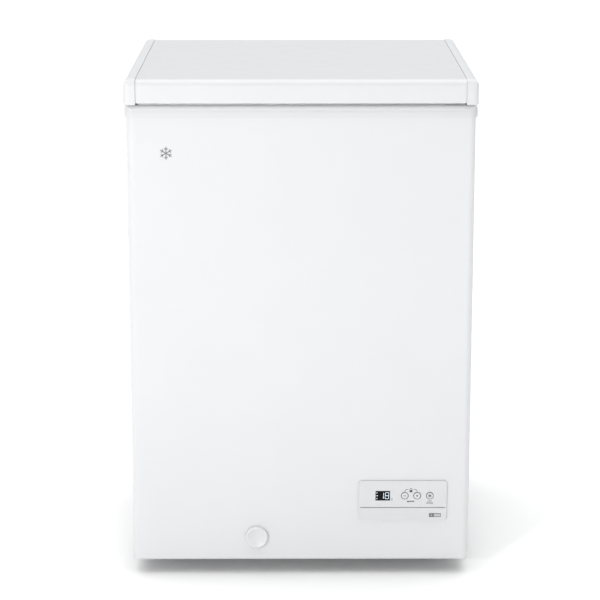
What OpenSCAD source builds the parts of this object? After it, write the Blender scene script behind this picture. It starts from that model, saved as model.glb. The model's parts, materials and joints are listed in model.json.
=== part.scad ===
// Compact chest freezer with a top-opening lid, about 100 litres.
// Frame: +X to the right, -Y to the front, +Z up, origin on the floor under the middle.
// Everything is in millimetres, with the lid closed and the basket over the step.

/* [Cabinet] */
// Width of the steel body
body_w = 567; // [560:1:574]
// Depth of the steel body
body_d = 540; // [534:1:546]
// Overall height with the lid closed
total_h = 845; // [835:1:860]
// Height of the feet
foot_h = 25; // [22:1:30]
// Thickness of the outer steel sheet
sheet = 0.8; // [0.6:0.1:1.0]
// Radius of the upright corners of the body
corner_r = 11; // [8:1:11]
// Radius of the rolled edge round the bottom
edge_r = 6; // [4:1:6]
// Thickness of the insulated walls
wall = 56; // [54:1:58]

/* [Tank] */
// Height of the tank floor
floor_z = 110; // [108:1:114]
// Where the wall beside the compressor step stands
step_x = 60; // [56:1:62]
// Height of the compressor step
step_z = 305; // [302:1:310]
// Radius of the upright corners of the tank
tank_r = 30; // [26:1:32]
// Thickness of the tank sheet
liner_t = 1; // [0.8:0.1:1.2]

/* [Collar] */
// Height of the collar frame round the mouth
collar_h = 20; // [20:0.5:21]
// How far the collar stands out from the body
collar_out = 2.75; // [2:0.25:3]
// Width of the ledge that the basket hangs from
ledge_w = 12; // [11:0.5:12]
// Depth of the ledge below the collar's top
ledge_drop = 12; // [12:0.5:12.5]

/* [Lid] */
// Overall width of the lid
lid_w = 574; // [572:1:580]
// Thickness of the lid
lid_h = 39; // [38:1:42]
// Gap between the collar and the lid, filled by the gasket
seal_gap = 4; // [4:0.5:5]
// Width of each end cap
cap_w = 19.5; // [18:0.5:21]
// Radius of the outer edges of the end caps
cap_r = 12; // [8:1:13]
// Depth of the plug moulded into the underside of the lid
plug_d = 10; // [8:0.5:10]

/* [Hinges] */
// Distance of each hinge from the middle
hinge_x = 190; // [186:1:196]
// Radius of the hinge pins
pin_r = 3; // [2.5:0.5:3]
// Running clearance round the hinge pins
pin_play = 0.05; // [0.02:0.01:0.08]
// Radius of the lift cam with the lid closed
cam_high = 9.5; // [9.2:0.1:9.6]
// Radius of the lift cam with the lid fully open
cam_low = 6.2; // [6.1:0.1:6.4]
// Opening angle of the lid in degrees
lid_angle = 80; // [70:5:80]

/* [Controls] */
// Width of the control panel
panel_w = 148; // [146:1:150]
// Height of the control panel
panel_h = 69; // [68:1:70]
// How far the control panel stands out
panel_out = 3.2; // [3:0.1:3.4]
// Radius of the push buttons
button_r = 6.3; // [6:0.1:6.4]
// Gap round each push button
button_play = 0.3; // [0.3:0.05:0.4]

/* [Drain] */
// Outer radius of the drain cap
drain_cap_r = 19; // [17:1:20]
// Outer radius of the drain tube
drain_r = 12; // [11:0.5:12]
// Clearance of the drain cap and plug in the tube
drain_play = 0.08; // [0.04:0.01:0.1]

/* [Basket] */
// Width of the basket
basket_w = 200; // [190:1:205]
// Depth of the basket
basket_d = 400; // [380:1:402]
// Height of the basket
basket_h = 196; // [180:1:200]
// Thickness of the basket wires
wire = 3; // [2.5:0.5:3]

/* [Hidden] */
$fn = 48;

// Cabinet: the body stands a little forward of the origin, because the hinges are behind it
body_shift = 8;
half_w = body_w / 2;
front_y = -body_d / 2 - body_shift;
back_y = body_d / 2 - body_shift;
lid_bottom = total_h - lid_h;
collar_top = lid_bottom - seal_gap;
skin_top = collar_top - collar_h;
lap = 12;
seam = 0.3;
far = 900;

// Tank inside the walls
tank_x = half_w - wall;
tank_front = front_y + wall;
tank_back = back_y - wall;
ledge_z = collar_top - ledge_drop;
flange_w = 20;

// Machine room under the step
room_left = 110;
room_front = front_y + 63;
room_top = 255;
room_sheet = 1;
room_right = half_w - sheet;
room_floor = foot_h + sheet;

// Collar
collar_front = front_y - 2;
collar_wall = 2.5;
shoulder_r = 7;

// Lid
lid_front = front_y - 4;
lid_back = back_y + 6;
lid_half = lid_w / 2;
panel_half = lid_half - cap_w;
panel_drop = 1.4;
lid_edge_r = 10;
lid_lip = 12;
cap_wall = 2.2;
cap_skirt = 3;
gasket_w = 12;
gasket_h = seal_gap - 0.2;
gasket_x = panel_half - 1.5;
gasket_front = lid_front + 10;
gasket_r = 2;
gasket_back = lid_back - 15;

// Hinges
axis_y = lid_back + 4;
axis_z = lid_bottom - 10;
ear_x = 13;
ear_t = 2;
web_t = 2;
flange_x = 28;
bracket_bottom = axis_z - 146;
web_top = skin_top + 2;
knuckle_r = 6;
ear_r = 9;
leaf_t = 2;
leaf_x = 25;
leaf_neck = ear_x - 0.5;
plunger_gap = 0.6;
plunger_top = axis_z - cam_high - plunger_gap;
plunger_h = 14;
screw_l = 14;
spring_bottom = bracket_bottom + 8;
spring_top = plunger_top - plunger_h - 0.2;
spring_r = 5;
spring_wire = 1;

// Refrigeration pipes
evap_r = 4;
evap_gap = 0.2;
evap_bend = tank_r + liner_t + evap_r + evap_gap;
evap_low = [170, 240];
evap_high = [360, 460, 560, 660];
cond_r = 2.5;
cond_gap = 0.2;
cond_x = room_right - cond_r - cond_gap;
cond_z = [330, 440, 550, 660];
cond_end = 225;
cond_return = 245;
cond_tail = 222;
cond_bend = 14 + cond_r + cond_gap;
suction_port = [118, 100, 170];
capillary_port = [118, 60, 240];

// Compressor
comp = [197, 125];
comp_r = 58;
comp_foot_z = 40;
comp_top = 200;
comp_hole = [62, 52];

// Controls
panel_c = [171.3, 132];
housing_d = 22;
window_lo = [125.4, 132];
window_hi = [150, 149];
button_z = 140.6;
minus_x = 174.7;
plus_x = 195.6;
freeze_x = 216.9;
pcb_y = front_y + 8;
harness_x = 190;
harness_z = 118;
harness_r = 3.5;

// Drain
drain_x = -75;
drain_z = 67;
drain_y = -150;
drain_bend = 20;
drain_wall = 2;

// Sensor between the tank and the machine room
sensor_y = -120;
sensor_z = 205;
sensor_r = 3;

// Basket: it hangs over the step and slides to the left
basket_lo = [tank_x - 13.5 - basket_w, (tank_front + tank_back - basket_d) / 2, ledge_z - basket_h - 3];
basket_hi = [basket_lo[0] + basket_w, basket_lo[1] + basket_d, basket_lo[2] + basket_h];
hook_r = 2;
hook_z = ledge_z + hook_r + 0.2;

// Openings, covers and the screws in the back
vent_lo = [-60, 70];
vent_hi = [140, 200];
// Places of the hinge bracket's screws beside one hinge, and of the rear cover's screws
bracket_holes = [for (x = [-22, 22], z = [bracket_bottom + 15, web_top - 14]) [x, z]];
cover_holes = [for (x = [room_left + 6, 265], z = [45, 140, 237]) [x, z]];
// Opening of the machine room in the back panel, and the cover over it
room_door_lo = [room_left + 10, foot_h + 13];
room_door_hi = [260, room_top - 10];
cover_lo = [room_left + 1, foot_h + 8];
cover_hi = [270, room_top - 4];
cover_t = 1.2;
// Gland for the mains lead
gland_x = 244;
gland_z = 62;

// Risers between the evaporator loops: x, lower z, upper z
evap_risers = [
    [-120, evap_low[0], evap_low[1]],
    [-60, evap_low[1], evap_high[0]],
    for (i = [0:2]) [i % 2 == 0 ? -120 : -60, evap_high[i], evap_high[i + 1]]
];

// Upright runs that join the condenser runs at the back: x, lower z, upper z
cond_bends = [
    [cond_x, room_top - 1, cond_z[0]],
    [-cond_x, cond_z[0], cond_z[1]],
    [cond_x, cond_z[1], cond_z[2]],
    [-cond_x, cond_z[2], cond_z[3]]
];

// Filter drier, in plan, and the power box
drier = [262, 15];
power_lo = [140, room_front + room_sheet, 86];
power_hi = [240, room_front + 46, 150];

// Cam outline about the hinge axis: its radius falls evenly as the lid opens
cam_points = [
    for (i = [0:8])
        let (a = i * lid_angle / 8)
        (cam_high - (cam_high - cam_low) * i / 8) * [cos(a - 90), sin(a - 90)]
];

// Plug in the underside of the lid, and the lid liner round it
plug_x = tank_x - 14;
plug_front = tank_front + 22;
plug_back = tank_back - 22;
liner_edge = lid_lip + 0.3;
lid_liner_t = 1.2;

// ---- Helpers ----

// Plain box between two opposite corners
module box(lo, hi) {
    translate(lo) cube(hi - lo);
}

// Rectangle with four round corners
module round_rect(lo, hi, r) {
    translate([lo[0] + r, lo[1]]) square([hi[0] - lo[0] - 2 * r, hi[1] - lo[1]]);
    translate([lo[0], lo[1] + r]) square([hi[0] - lo[0], hi[1] - lo[1] - 2 * r]);
    for (x = [lo[0] + r, hi[0] - r], y = [lo[1] + r, hi[1] - r]) {
        translate([x, y]) circle(r);
    }
}

// Block with round upright corners
module block(lo, hi, r) {
    translate([0, 0, lo[2]]) linear_extrude(hi[2] - lo[2]) round_rect([lo[0], lo[1]], [hi[0], hi[1]], r);
}

// Outline drawn in x and z, carried along y from y0 to y1
module along_y(y0, y1) {
    translate([0, y1, 0]) rotate([90, 0, 0]) linear_extrude(y1 - y0) children();
}

// Outline drawn in y and z, carried along x from x0 to x1
module along_x(x0, x1) {
    translate([x0, 0, 0]) rotate([90, 0, 90]) linear_extrude(x1 - x0) children();
}

// Round bar along y
module rod_y(x, z, y0, y1, r) {
    translate([x, y1, z]) rotate([90, 0, 0]) cylinder(h = y1 - y0, r = r);
}

// Round bar along x
module rod_x(y, z, x0, x1, r) {
    translate([x0, y, z]) rotate([0, 90, 0]) cylinder(h = x1 - x0, r = r);
}

// Round bar along z
module rod_z(x, y, z0, z1, r) {
    translate([x, y, z0]) cylinder(h = z1 - z0, r = r);
}

// Round bar between two points
module bar(a, b, r) {
    d = b - a;
    translate(a) rotate([0, acos(d[2] / norm(d)), atan2(d[1], d[0])]) cylinder(h = norm(d), r = r);
}

// Bent pipe through a list of points, with a slightly fuller ball at each bend
module pipe(points, r) {
    for (i = [0:len(points) - 2]) {
        bar(points[i], points[i + 1], r);
    }
    for (i = [1:len(points) - 2]) {
        translate(points[i]) sphere(r * 1.04);
    }
}

// Quarter ring of pipe in plan
module bend(x, y, z, start, bend_r, r) {
    translate([x, y, z]) rotate([0, 0, start]) rotate_extrude(angle = 90) translate([bend_r, 0]) circle(r);
}

// Closed loop of pipe in plan, with round corners
module pipe_loop(lo, hi, z, bend_r, r) {
    bend(hi[0] - bend_r, hi[1] - bend_r, z, 0, bend_r, r);
    bend(lo[0] + bend_r, hi[1] - bend_r, z, 90, bend_r, r);
    bend(lo[0] + bend_r, lo[1] + bend_r, z, 180, bend_r, r);
    bend(hi[0] - bend_r, lo[1] + bend_r, z, 270, bend_r, r);
    for (y = [lo[1], hi[1]]) {
        rod_x(y, z, lo[0] + bend_r, hi[0] - bend_r, r);
    }
    for (x = [lo[0], hi[0]]) {
        rod_y(x, z, lo[1] + bend_r, hi[1] - bend_r, r);
    }
}

// Screw seen from behind: its shank runs to y0 and its pan head stands on y1
module rear_screw(x, z, y0, y1) {
    rod_y(x, z, y0, y1, 1.9);
    rod_y(x, z, y1, y1 + 2.2, 4);
}

// ---- Outer steel panels ----

// Solid envelope of the body, drawn in by g on every side but the top
module body_form(g, top) {
    intersection() {
        block([-half_w + g, front_y + g, foot_h + g], [half_w - g, back_y - g, top], corner_r - g);
        along_y(front_y - 1, back_y + 1) {
            round_rect([-half_w + g, foot_h + g], [half_w - g, far], edge_r - g);
        }
        along_x(-half_w - 1, half_w + 1) {
            round_rect([front_y + g, foot_h + g], [back_y - g, far], edge_r - g);
        }
    }
}

// Thin shell that all the outer panels are cut from
module body_shell() {
    difference() {
        body_form(0, skin_top);
        body_form(sheet, skin_top + 1);
    }
}

// Opening in the front sheet behind the control panel
module panel_cutout(y0, y1) {
    lo = [panel_c[0] - panel_w / 2 + 4, y0, panel_c[1] - panel_h / 2 + 3.5];
    hi = [panel_c[0] + panel_w / 2 - 4, y1, panel_c[1] + panel_h / 2 - 3.5];
    box(lo, hi);
}

module front_panel() {
    color("white") difference() {
        intersection() {
            body_shell();
            box([-far, front_y - 1, 0], [far, front_y + lap, far]);
        }
        panel_cutout(front_y - 1, front_y + 2);
        rod_y(drain_x, drain_z, front_y - 1, front_y + 2, drain_r + 0.1);
    }
}

// Side panel: side is -1 on the left and 1 on the right
module side_panel(side) {
    intersection() {
        body_shell();
        translate([side * (half_w + 50 - lap), 0, 0]) {
            box([-50, front_y + lap + seam, 0], [50, back_y + 1, far]);
        }
    }
}

module side_panel_left() {
    color("white") side_panel(-1);
}

module side_panel_right() {
    color("white") difference() {
        side_panel(1);
        box([half_w - 3, vent_lo[0], vent_lo[1]], [half_w + 1, vent_hi[0], vent_hi[1]]);
    }
}

module hinge_screw_holes(y0, y1, r) {
    for (s = [-1, 1], p = bracket_holes) {
        rod_y(s * hinge_x + p[0], p[1], y0, y1, r);
    }
}

module back_panel() {
    color("gainsboro") difference() {
        intersection() {
            body_shell();
            box([-half_w + lap + seam, back_y - lap, 0], [half_w - lap - seam, back_y + 1, far]);
        }
        box([room_door_lo[0], back_y - 3, room_door_lo[1]], [room_door_hi[0], back_y + 1, room_door_hi[1]]);
        hinge_screw_holes(back_y - 2, back_y + 1, 2);
        for (p = cover_holes) {
            rod_y(p[0], p[1], back_y - 2, back_y + 1, 2);
        }
    }
}

module base_panel() {
    color("gainsboro") intersection() {
        body_shell();
        lo = [-half_w + lap + seam, front_y + lap + seam, foot_h - 1];
        hi = [half_w - lap - seam, back_y - lap - seam, foot_h + 3];
        box(lo, hi);
    }
}

module feet() {
    foot_top = 19;
    foot_base = 15;
    color("dimgray") for (x = [-215, 215], y = [front_y + 90, back_y - 50]) {
        translate([x, y, 0]) cylinder(h = foot_h, r1 = foot_base, r2 = foot_top);
    }
}

module rear_spacers() {
    depth = 23;
    color("dimgray") for (x = [-110, 110]) {
        translate([x, back_y, 690]) rotate([-90, 0, 0]) cylinder(h = depth, r1 = 17, r2 = 12);
    }
}

// Plain snowflake emblem, with six arms and a pair of twigs on each
module front_badge() {
    thick = 0.5;
    arm = 10.5;
    color("gray") translate([-219, front_y, 724]) rotate([90, 0, 0]) {
        for (a = [0:60:300]) {
            rotate([0, 0, a + 30]) {
                translate([0, -0.6, 0]) cube([arm, 1.2, thick]);
                for (t = [-50, 50]) {
                    translate([arm * 0.55, 0, 0]) rotate([0, 0, t]) {
                        translate([0, -0.5, 0]) cube([3.6, 1, thick]);
                    }
                }
            }
        }
    }
}

// ---- Tank and insulation ----

// Inside of the tank, grown outwards by g
module tank_form(g, top) {
    block([-tank_x - g, tank_front - g, step_z - g], [tank_x + g, tank_back + g, top], tank_r + g);
    block([-tank_x - g, tank_front - g, floor_z - g], [step_x + g, tank_back + g, step_z - g], tank_r + g);
}

module inner_liner() {
    color("whitesmoke") difference() {
        union() {
            tank_form(liner_t, skin_top);
            block(
                [-tank_x - flange_w, tank_front - flange_w, skin_top - liner_t],
                [tank_x + flange_w, tank_back + flange_w, skin_top],
                tank_r + flange_w
            );
        }
        tank_form(0, skin_top + 1);
        rod_z(drain_x, drain_y, floor_z - 5, floor_z + 5, drain_r + 0.1);
    }
}

// Space of the machine room, drawn in by g
module room_space(g) {
    lo = [room_left + g, room_front + g, foot_h - 5];
    hi = [half_w + 5, back_y + 5, room_top - g];
    box(lo, hi);
}

// Hollow under the collar that the foam fills
module collar_filling() {
    in = 3;
    difference() {
        block(
            [-half_w - collar_out + in, collar_front + in, skin_top - 1],
            [half_w + collar_out - in, back_y - in, collar_top - 3.5],
            corner_r + collar_out - in
        );
        mouth(collar_wall, ledge_z - collar_wall, far);
        throat(collar_wall, skin_top - 2, ledge_z - collar_wall);
    }
}

// Wide mouth above the ledge, grown outwards by g
module mouth(g, z0, z1) {
    w = ledge_w + g;
    block([-tank_x - w, tank_front - w, z0], [tank_x + w, tank_back + w, z1], tank_r + w);
}

// Throat under the ledge, in line with the tank, grown outwards by g
module throat(g, z0, z1) {
    block([-tank_x - g, tank_front - g, z0], [tank_x + g, tank_back + g, z1], tank_r + g);
}

// Drain pipe route: in from the front, round a bend and up to the tank floor
module drain_route(r, over) {
    rod_y(drain_x, drain_z, front_y - over, drain_y - drain_bend, r);
    translate([drain_x, drain_y - drain_bend, drain_z + drain_bend]) rotate([0, 90, 0]) {
        rotate_extrude(angle = 90) translate([drain_bend, 0]) circle(r);
    }
    rod_z(drain_x, drain_y, drain_z + drain_bend, floor_z + over, r);
}

// Square channels in the foam that hold the evaporator loops and risers
module evaporator_channels() {
    out = liner_t + 2 * evap_r + 2 * evap_gap;
    h = evap_r + evap_gap;
    for (z = evap_low) {
        block([-tank_x - out, tank_front - out, z - h], [step_x + out, tank_back + out, z + h], tank_r + out);
    }
    for (z = evap_high) {
        block([-tank_x - out, tank_front - out, z - h], [tank_x + out, tank_back + out, z + h], tank_r + out);
    }
    for (riser = evap_risers) {
        box([riser[0] - h, tank_front - out, riser[1]], [riser[0] + h, tank_front, riser[2]]);
    }
    for (port = [suction_port, capillary_port]) {
        rod_x(port[1], port[2], step_x, room_left + 2, evap_r + evap_gap);
    }
}

// Square channels under the outer sheets that hold the condenser runs
module condenser_channels() {
    d = 2 * cond_r + 2 * cond_gap;
    h = cond_r + cond_gap;
    for (z = cond_z) {
        end = (z == cond_z[3]) ? cond_return : cond_end;
        difference() {
            box([-half_w, front_y, z - h], [half_w, end + h, z + h]);
            block(
                [-room_right + d, front_y + sheet + d, z - h - 1],
                [room_right - d, back_y + 60, z + h + 1],
                cond_bend - h
            );
        }
    }
    for (run = cond_bends) {
        box([run[0] - h, cond_end - h, run[1]], [run[0] + h, cond_end + h, run[2]]);
    }
    box([cond_x - h, cond_return - h, room_top - 1], [cond_x + h, cond_return + h, cond_z[3]]);
}

module cabinet_foam() {
    color("khaki") difference() {
        union() {
            body_form(sheet, skin_top);
            collar_filling();
        }
        tank_form(liner_t, far);
        block(
            [-tank_x - flange_w, tank_front - flange_w, skin_top - liner_t],
            [tank_x + flange_w, tank_back + flange_w, skin_top],
            tank_r + flange_w
        );
        room_space(0);
        panel_cutout(front_y, front_y + housing_d + 2);
        drain_route(drain_r, 0);
        evaporator_channels();
        condenser_channels();
        rod_y(harness_x, harness_z, front_y + housing_d, room_front + 1, harness_r + 0.3);
        rod_x(sensor_y, sensor_z, step_x + liner_t, room_left + 1, sensor_r + 0.2);
        hinge_screw_holes(back_y - 13, back_y + 1, 2);
    }
}

module collar_frame() {
    x = half_w + collar_out;
    groove = 0.8;
    color("white") difference() {
        intersection() {
            block([-x, collar_front, skin_top], [x, back_y, collar_top], corner_r + collar_out);
            along_y(collar_front - 1, back_y + 1) {
                round_rect([-x, skin_top - 50], [x, collar_top], shoulder_r);
            }
            along_x(-x - 1, x + 1) {
                round_rect([collar_front, skin_top - 50], [back_y + 50, collar_top], shoulder_r);
            }
        }
        mouth(0, ledge_z, far);
        throat(0, skin_top - 1, ledge_z + 1);
        collar_filling();
        difference() {
            box([-x - 1, collar_front - 1, skin_top + 9.5], [x + 1, back_y + 1, skin_top + 10.5]);
            block(
                [-x + groove, collar_front + groove, skin_top + 9],
                [x - groove, back_y + 2, skin_top + 11],
                corner_r + collar_out - groove
            );
        }
    }
}

// ---- Machine room ----

module machine_room_liner() {
    color("silver") difference() {
        intersection() {
            box([room_left, room_front, room_floor], [room_right, back_y - sheet, room_top]);
            body_form(sheet, room_top + 1);
        }
        room_space(room_sheet);
        for (port = [suction_port, capillary_port]) {
            rod_x(port[1], port[2], room_left - 1, room_left + 2, evap_r + evap_gap);
        }
        rod_x(sensor_y, sensor_z, room_left - 1, room_left + 2, sensor_r + 0.2);
        rod_y(harness_x, harness_z, room_front - 1, room_front + 2, harness_r + 0.3);
        box([cond_x - 4, cond_end - 7, room_top - 2], [half_w, cond_return + 7, room_top + 1]);
    }
}

module side_vent_grille() {
    margin = 8;
    proud = 1.5;
    pitch = 11;
    color("gainsboro") difference() {
        union() {
            box(
                [half_w, vent_lo[0] - margin, vent_lo[1] - margin],
                [half_w + proud, vent_hi[0] + margin, vent_hi[1] + margin]
            );
            box(
                [half_w - 4, vent_lo[0] + 0.5, vent_lo[1] + 0.5],
                [half_w, vent_hi[0] - 0.5, vent_hi[1] - 0.5]
            );
        }
        for (z = [vent_lo[1] + 8:pitch:vent_hi[1] - 9], y = [vent_lo[0] + 8, 44]) {
            box([half_w - 5, y, z], [half_w + 3, y + 88, z + 5]);
        }
    }
}

module rear_cover() {
    color("silver") difference() {
        box([cover_lo[0], back_y, cover_lo[1]], [cover_hi[0], back_y + cover_t, cover_hi[1]]);
        for (z = [90:12:222], x = [128, 192]) {
            box([x, back_y - 1, z], [x + 56, back_y + 3, z + 5]);
        }
        for (p = cover_holes) {
            rod_y(p[0], p[1], back_y - 1, back_y + 3, 2.1);
        }
        rod_y(gland_x, gland_z, back_y - 1, back_y + 3, 7.1);
    }
}

// All the screws in the back: those of the rear cover and of the two hinge brackets
module rear_screws() {
    color("silver") {
        for (p = cover_holes) {
            rear_screw(p[0], p[1], back_y + cover_t - screw_l, back_y + cover_t);
        }
        for (s = [-1, 1], p = bracket_holes) {
            rear_screw(s * hinge_x + p[0], p[1], back_y + web_t - screw_l, back_y + web_t);
        }
    }
}

module cord_gland() {
    color("dimgray") difference() {
        union() {
            rod_y(gland_x, gland_z, back_y - 6, back_y + cover_t, 7);
            rod_y(gland_x, gland_z, back_y + cover_t, back_y + cover_t + 5, 10);
        }
        rod_y(gland_x, gland_z, back_y - 7, back_y + 9, 3.8);
    }
}

// The four mounts under the compressor
module at_mounts() {
    for (x = [-1, 1], y = [-1, 1]) {
        translate([comp[0] + x * comp_hole[0], comp[1] + y * comp_hole[1], 0]) children();
    }
}

module compressor() {
    ball_r = 96;
    seam_z = 120;
    color("black") {
        difference() {
            box([comp[0] - 75, comp[1] - 65, comp_foot_z], [comp[0] + 75, comp[1] + 65, comp_foot_z + 3]);
            at_mounts() rod_z(0, 0, comp_foot_z - 1, comp_foot_z + 4, 8);
        }
        intersection() {
            rod_z(comp[0], comp[1], comp_foot_z + 3, comp_top, comp_r);
            translate([comp[0], comp[1], comp_top - ball_r]) sphere(ball_r);
        }
        rod_z(comp[0], comp[1], seam_z, seam_z + 4, comp_r + 3);
        rod_x(comp[1], 100, comp[0] - comp_r - 8, comp[0], 4);
        rod_y(comp[0] + 28, 108, comp[1], comp[1] + 70, cond_r);
        rod_y(comp[0] - 27, 108, comp[1], comp[1] + 67, 3);
    }
}

module compressor_mount_plate() {
    color("silver") difference() {
        box([room_left + 4, comp[1] - 82, room_floor], [278, comp[1] + 88, room_floor + 2.7]);
        at_mounts() rod_z(0, 0, room_floor - 1, room_floor + 4, 3.6);
    }
}

module compressor_grommets() {
    base = room_floor + 2.7;
    color("dimgray") at_mounts() {
        difference() {
            union() {
                rod_z(0, 0, base, comp_foot_z, 11);
                rod_z(0, 0, comp_foot_z, comp_foot_z + 3, 7.9);
                rod_z(0, 0, comp_foot_z + 3, comp_foot_z + 6, 11);
            }
            rod_z(0, 0, base - 1, comp_foot_z + 7, 3.6);
        }
    }
}

module compressor_bolts() {
    color("silver") at_mounts() {
        rod_z(0, 0, room_floor, comp_foot_z + 6, 3.5);
        rod_z(0, 0, comp_foot_z + 6, comp_foot_z + 7.2, 9);
        translate([0, 0, comp_foot_z + 7.2]) cylinder(h = 4.5, r = 6, $fn = 6);
    }
}

module relay_cover() {
    color("black") difference() {
        box([comp[0] - 24, comp[1] - comp_r - 26, 66], [comp[0] + 24, comp[1] - 46, 116]);
        rod_z(comp[0], comp[1], 60, 130, comp_r + 0.1);
    }
}

module filter_drier() {
    color("peru") {
        rod_z(drier[0], drier[1], 105, 190, 9);
        translate([drier[0], drier[1], 93]) cylinder(h = 12, r1 = 3, r2 = 9);
        translate([drier[0], drier[1], 190]) cylinder(h = 12, r1 = 9, r2 = 3);
    }
}

module suction_pipe() {
    end = [comp[0] - comp_r - 8, comp[1], 100];
    color("peru") pipe([
        suction_port, [124, 100, 170], [124, comp[1], 110], [124, comp[1], 100], end
    ], evap_r);
}

module discharge_pipe() {
    start = [comp[0] + 28, comp[1] + 70, 108];
    color("peru") pipe([
        start, [start[0], cond_end, 108], [cond_x, cond_end, 108], [cond_x, cond_end, 200]
    ], cond_r);
}

module capillary_tube() {
    low = 62;
    color("peru") pipe([
        [drier[0], drier[1], 93], [drier[0], drier[1], 78], [240, -20, low], [127, -20, low],
        [127, 60, 200], [127, capillary_port[1], capillary_port[2]], capillary_port
    ], 1.2);
}

module condenser_coil() {
    x = cond_x;
    y = front_y + sheet + cond_r + cond_gap;
    c = cond_bend;
    // Runs round the front of the cabinet, one for each level
    color("peru") {
        for (z = cond_z) {
            bend(-x + c, y + c, z, 180, c, cond_r);
            bend(x - c, y + c, z, 270, c, cond_r);
            rod_x(y, z, -x + c, x - c, cond_r);
        }
        // Inlet from the compressor, the risers, and the return to the filter drier
        pipe([[x, cond_end, 200], [x, cond_end, cond_z[0]], [x, y + c, cond_z[0]]], cond_r);
        for (i = [0:2]) {
            side = (i == 1) ? x : -x;
            pipe([
                [side, y + c, cond_z[i]], [side, cond_end, cond_z[i]],
                [side, cond_end, cond_z[i + 1]], [side, y + c, cond_z[i + 1]]
            ], cond_r);
        }
        pipe([
            [x, y + c, cond_z[3]], [x, cond_return, cond_z[3]], [x, cond_return, cond_tail],
            [drier[0], cond_return, cond_tail], [drier[0], drier[1], cond_tail], [drier[0], drier[1], 202]
        ], cond_r);
    }
}

module evaporator_coil() {
    out = liner_t + evap_gap + evap_r;
    lo = [-tank_x - out, tank_front - out];
    color("silver") {
        for (z = evap_low) {
            pipe_loop(lo, [step_x + out, tank_back + out], z, evap_bend, evap_r);
        }
        for (z = evap_high) {
            pipe_loop(lo, [tank_x + out, tank_back + out], z, evap_bend, evap_r);
        }
        for (riser = evap_risers) {
            rod_z(riser[0], tank_front - out, riser[1], riser[2], evap_r - 0.2);
        }
        for (port = [suction_port, capillary_port]) {
            rod_x(port[1], port[2], step_x + out, port[0], evap_r - 0.2);
        }
    }
}

module temperature_sensor() {
    color("white") {
        rod_x(sensor_y, sensor_z, step_x + liner_t + 0.2, 86, sensor_r);
        rod_x(sensor_y, sensor_z, 86, room_left + 14, 1.4);
    }
}

// ---- Controls ----

module control_housing() {
    lo = [panel_c[0] - panel_w / 2, panel_c[1] - panel_h / 2];
    hi = [panel_c[0] + panel_w / 2, panel_c[1] + panel_h / 2];
    rim = 2;
    inset = [4.5, 4];
    face_y = front_y - panel_out;
    groove_z = lo[1] + 21.4;
    color("lightgray") difference() {
        union() {
            along_y(face_y, front_y) {
                round_rect(lo, hi, 5);
            }
            difference() {
                box(
                    [lo[0] + inset[0], front_y, lo[1] + inset[1]],
                    [hi[0] - inset[0], front_y + housing_d, hi[1] - inset[1]]
                );
                box(
                    [lo[0] + inset[0] + rim, front_y, lo[1] + inset[1] + rim],
                    [hi[0] - inset[0] - rim, front_y + housing_d + 1, hi[1] - inset[1] - rim]
                );
            }
        }
        box([window_lo[0], face_y - 1, window_lo[1]], [window_hi[0], front_y + 1, window_hi[1]]);
        for (x = [minus_x, plus_x, freeze_x]) {
            rod_y(x, button_z, face_y - 1, front_y + 1, button_r + button_play);
        }
        box([lo[0] + 2.3, face_y - 1, groove_z], [hi[0] - 2.3, face_y + 2.4, groove_z + 1.6]);
    }
}

module display_window() {
    play = 0.1;
    color("black") box(
        [window_lo[0] + play, front_y - panel_out + 0.2, window_lo[1] + play],
        [window_hi[0] - play, front_y - panel_out + 2.2, window_hi[1] - play]
    );
}

module panel_sticker() {
    color("dimgray") box([216, front_y - panel_out - 0.2, 102.7], [236, front_y - panel_out, 109.5]);
}

module control_pcb() {
    size = [118, 48];
    lo = [panel_c[0] - size[0] / 2, panel_c[1] - size[1] / 2];
    color("darkgreen") {
        difference() {
            box([lo[0], pcb_y, lo[1]], [lo[0] + size[0], pcb_y + 1.6, lo[1] + size[1]]);
            for (x = [lo[0] + 5, lo[0] + size[0] - 5], z = [lo[1] + 5, lo[1] + size[1] - 5]) {
                rod_y(x, z, pcb_y - 1, pcb_y + 3, 1.6);
            }
        }
        // Display module behind the window, and one key switch behind each button
        box([window_lo[0] + 1, front_y - 0.6, window_lo[1] + 1], [window_hi[0] - 1, pcb_y, window_hi[1] - 1]);
        for (x = [minus_x, plus_x, freeze_x]) {
            box([x - 3, front_y + 3.5, button_z - 3], [x + 3, pcb_y, button_z + 3]);
        }
        box([harness_x - 8, pcb_y + 1.6, harness_z - 5], [harness_x + 8, pcb_y + 7.6, harness_z + 5]);
    }
}

// One push button: its cap, the flange behind the panel and a short boss
module button(x) {
    rod_y(x, button_z, front_y - 4, front_y + 0.6, button_r);
    rod_y(x, button_z, front_y + 0.6, front_y + 1.6, button_r + 1.3);
    rod_y(x, button_z, front_y + 1.6, front_y + 2.4, 2);
}

module minus_button() {
    color("silver") button(minus_x);
}

module plus_button() {
    color("silver") button(plus_x);
}

module fast_freeze_button() {
    color("silver") button(freeze_x);
}

module power_box() {
    t = 2;
    color("whitesmoke") {
        difference() {
            box(power_lo, power_hi);
            box(power_lo + [t, t, t], power_hi - [t, t, t]);
        }
    }
}

module wiring_harness() {
    r = 2.5;
    gland_end = [gland_x, back_y - 6, gland_z];
    color("dimgray") {
        // From the control board through the insulation to the power box
        rod_y(harness_x, harness_z, pcb_y + 7.6, power_lo[1], harness_r);
        // From the power box to the compressor's relay
        pipe([
            [175, power_hi[1], 100], [175, power_hi[1] + 9, 100], [175, -120, 70],
            [190, 0, 70], [197, 28, 90], [197, 41, 90]
        ], r);
        // From the power box to the cord gland
        pipe([
            [225, power_hi[1], 100], [225, power_hi[1] + 9, 100], [225, -130, 52],
            [268, -60, 52], [272, 195, 62], [gland_x, 236, gland_z], gland_end
        ], r);
    }
}

// ---- Drain ----

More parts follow.
